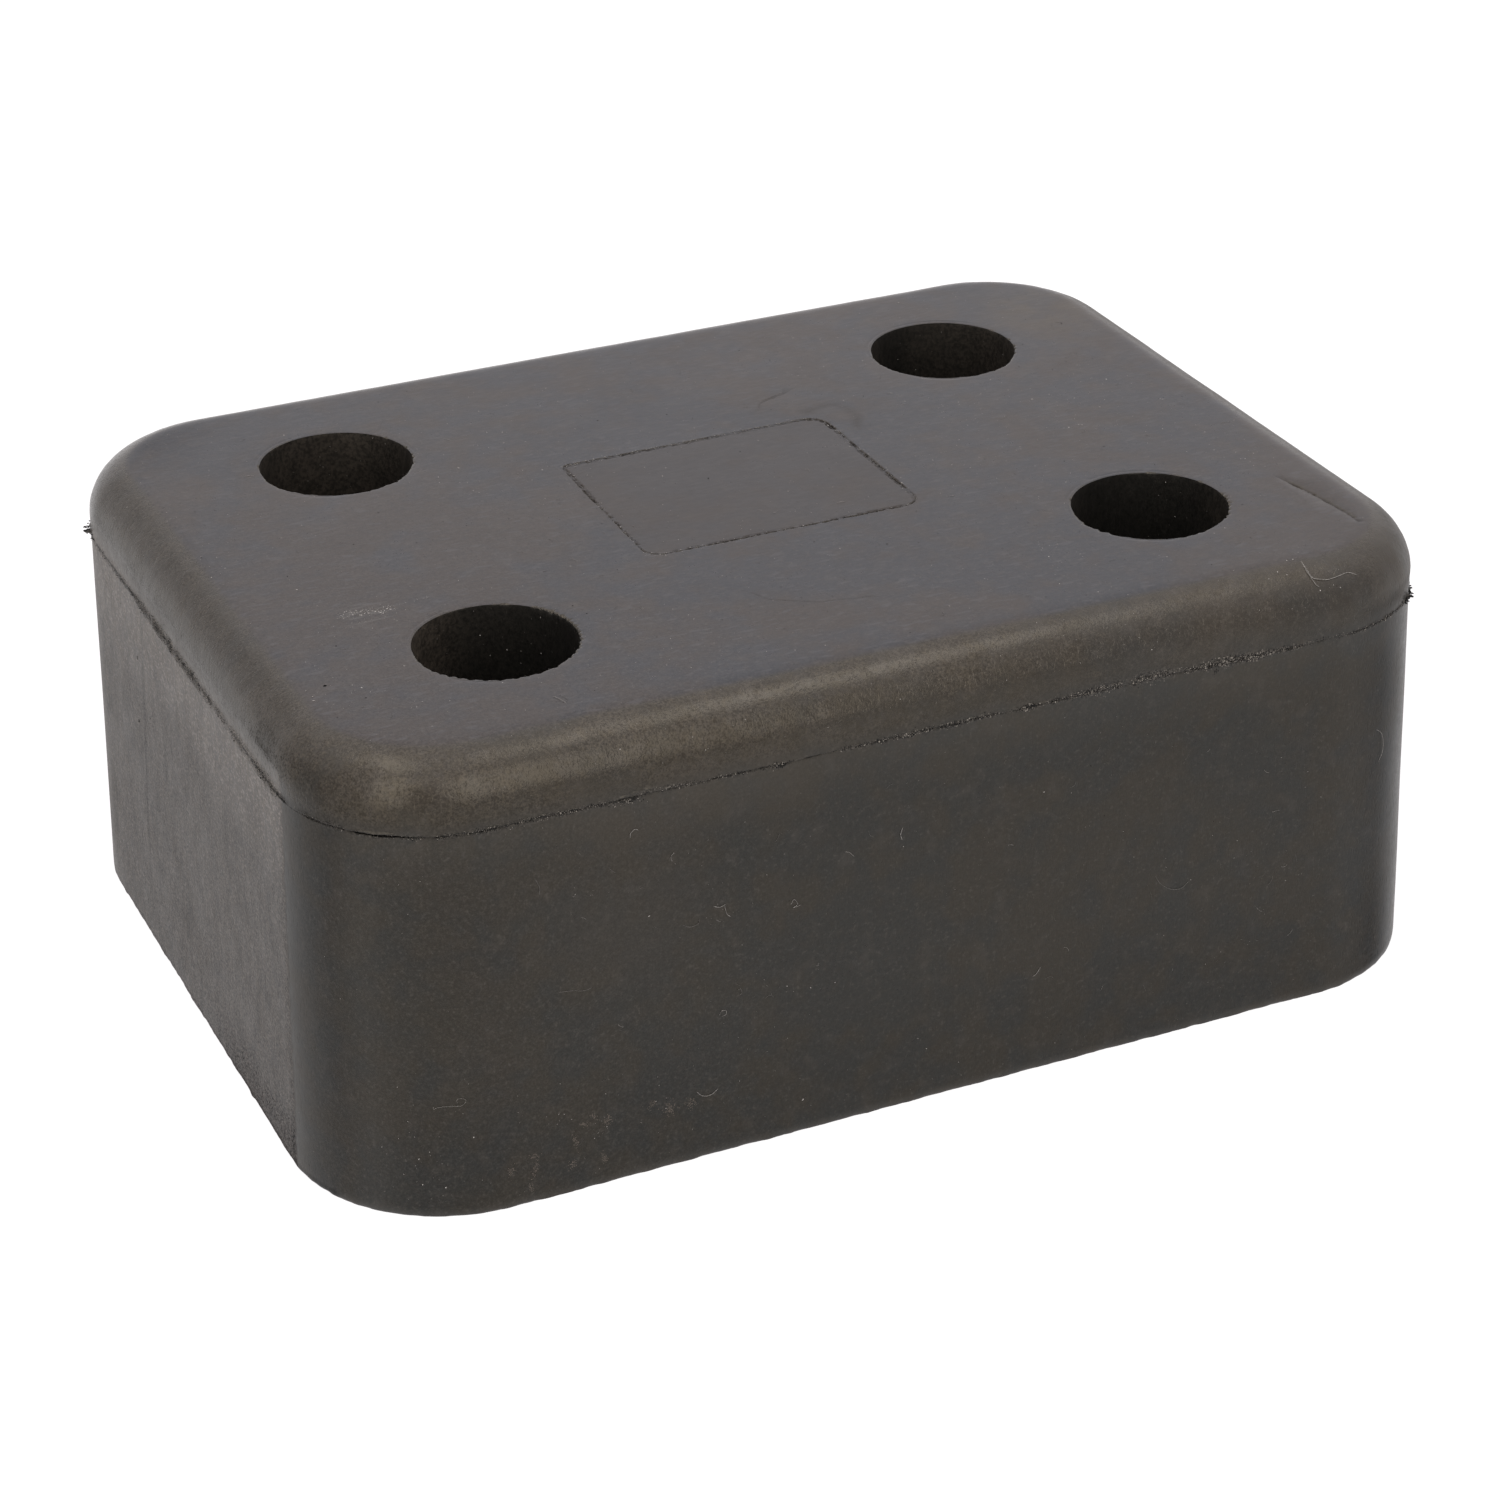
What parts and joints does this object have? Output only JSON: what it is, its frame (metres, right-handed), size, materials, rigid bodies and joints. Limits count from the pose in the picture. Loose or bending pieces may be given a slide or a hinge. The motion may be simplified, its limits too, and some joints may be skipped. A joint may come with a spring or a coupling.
{
  "type": "trailer buffer",
  "caption": "Moulded black rubber buffer block with round corners, a rounded top edge and stepped bolt holes, bolted to a trailer or dock to take knocks.",
  "frame": {"origin": "centre of the flat back face that is bolted to the vehicle", "axes": "+Z from the back face out to the contact face, +X along the length, +Y along the width"},
  "size_m": [0.2, 0.15, 0.078],
  "materials": {
    "rubber": "moulded black rubber, dull, with a grey bloom and light dust"
  },
  "bodies": {
    "root": {"buffer_block": "rubber"}
  },
  "joints": []
}
